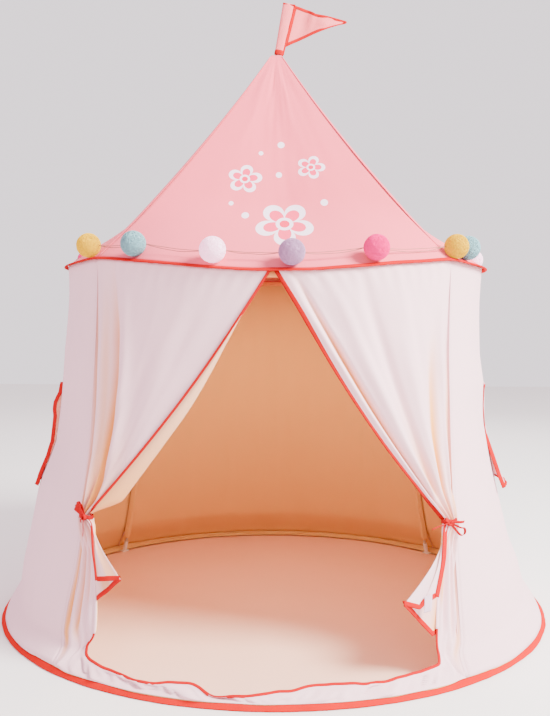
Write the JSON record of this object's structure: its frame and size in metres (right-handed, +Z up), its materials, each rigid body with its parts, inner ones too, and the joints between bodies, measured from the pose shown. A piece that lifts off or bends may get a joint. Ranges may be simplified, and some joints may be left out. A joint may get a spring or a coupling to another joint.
{
  "type": "kids play tent",
  "caption": "Round play tent with a peaked roof, gathered door curtains, side windows with flaps, a pennant and a string of balls along the eave.",
  "frame": {"origin": "middle of the floor, on the surface the tent stands on", "axes": "+Z up, doorway towards -Y, the pennant and the tent's right side towards +X"},
  "size_m": [1.2004, 1.2004, 1.3487],
  "materials": {
    "pink_cloth": "plain woven polyester",
    "white_cloth": "plain woven cotton",
    "coral_cloth": "woven binding tape",
    "net": "open mesh",
    "fibreglass": "smooth rod",
    "connector_plastic": "moulded",
    "wire": "thin coated wire",
    "ball_yellow": "wound thread",
    "ball_blue": "wound thread",
    "ball_white": "wound thread",
    "ball_grey": "wound thread",
    "ball_pink": "wound thread"
  },
  "bodies": {
    "tent": {"apex_hub": "connector_plastic", "curtain_left": "white_cloth", "curtain_right": "white_cloth", "curtain_tie_left": "coral_cloth", "curtain_tie_right": "coral_cloth", "door_edge_tape": "coral_cloth", "door_sill_panel": "white_cloth", "eave_connector_back_left": "connector_plastic", "eave_connector_back_right": "connector_plastic", "eave_connector_front_left": "connector_plastic", "eave_connector_front_right": "connector_plastic", "eave_hoop_rod_back": "fibreglass", "eave_hoop_rod_front": "fibreglass", "eave_hoop_rod_left": "fibreglass", "eave_hoop_rod_right": "fibreglass", "eave_tape": "coral_cloth", "flag_mast": "fibreglass", "floor_sheet": "white_cloth", "foot_connector_back_left": "connector_plastic", "foot_connector_back_right": "connector_plastic", "foot_connector_front_left": "connector_plastic", "foot_connector_front_right": "connector_plastic", "foot_hoop_rod_back": "fibreglass", "foot_hoop_rod_front": "fibreglass", "foot_hoop_rod_left": "fibreglass", "foot_hoop_rod_right": "fibreglass", "foot_sleeve": "coral_cloth", "garland_ball_01_pink": "ball_pink", "garland_ball_02_yellow": "ball_yellow", "garland_ball_03_blue": "ball_blue", "garland_ball_04_white": "ball_white", "garland_ball_05_grey": "ball_grey", "garland_ball_06_pink": "ball_pink", "garland_ball_07_yellow": "ball_yellow", "garland_ball_08_blue": "ball_blue", "garland_ball_09_white": "ball_white", "garland_ball_10_pink": "ball_pink", "garland_wire": "wire", "roof_panel_back": "pink_cloth", "roof_panel_front": "pink_cloth", "roof_panel_left": "pink_cloth", "roof_panel_right": "pink_cloth", "roof_pole_back_left": "fibreglass", "roof_pole_back_right": "fibreglass", "roof_pole_front_left": "fibreglass", "roof_pole_front_right": "fibreglass", "wall_panel_back": "white_cloth", "wall_panel_left": "white_cloth", "wall_panel_right": "white_cloth", "wall_pole_back_left": "fibreglass", "wall_pole_back_right": "fibreglass", "wall_pole_front_left": "fibreglass", "wall_pole_front_right": "fibreglass", "window_net_left": "net", "window_net_right": "net"},
    "flag": {"flag_sleeve": "pink_cloth", "pennant": "pink_cloth"},
    "window_flap_left": {"window_flap_left": "white_cloth"},
    "window_flap_right": {"window_flap_right": "white_cloth"}
  },
  "joints": [
    {"name": "flag_swivel", "type": "hinge", "parent": "tent", "child": "flag", "pos_m": [0, 0, 1.205], "axis": [0.1736, 0, 0.9848], "continuous": true},
    {"name": "window_flap_left_hinge", "type": "hinge", "parent": "tent", "child": "window_flap_left", "pos_m": [-0.46944, 0, 0.5], "axis": [0, 1, 0], "range_deg": [0, 150]},
    {"name": "window_flap_right_hinge", "type": "hinge", "parent": "tent", "child": "window_flap_right", "pos_m": [0.46944, 0, 0.5], "axis": [0, -1, 0], "range_deg": [0, 150]}
  ]
}
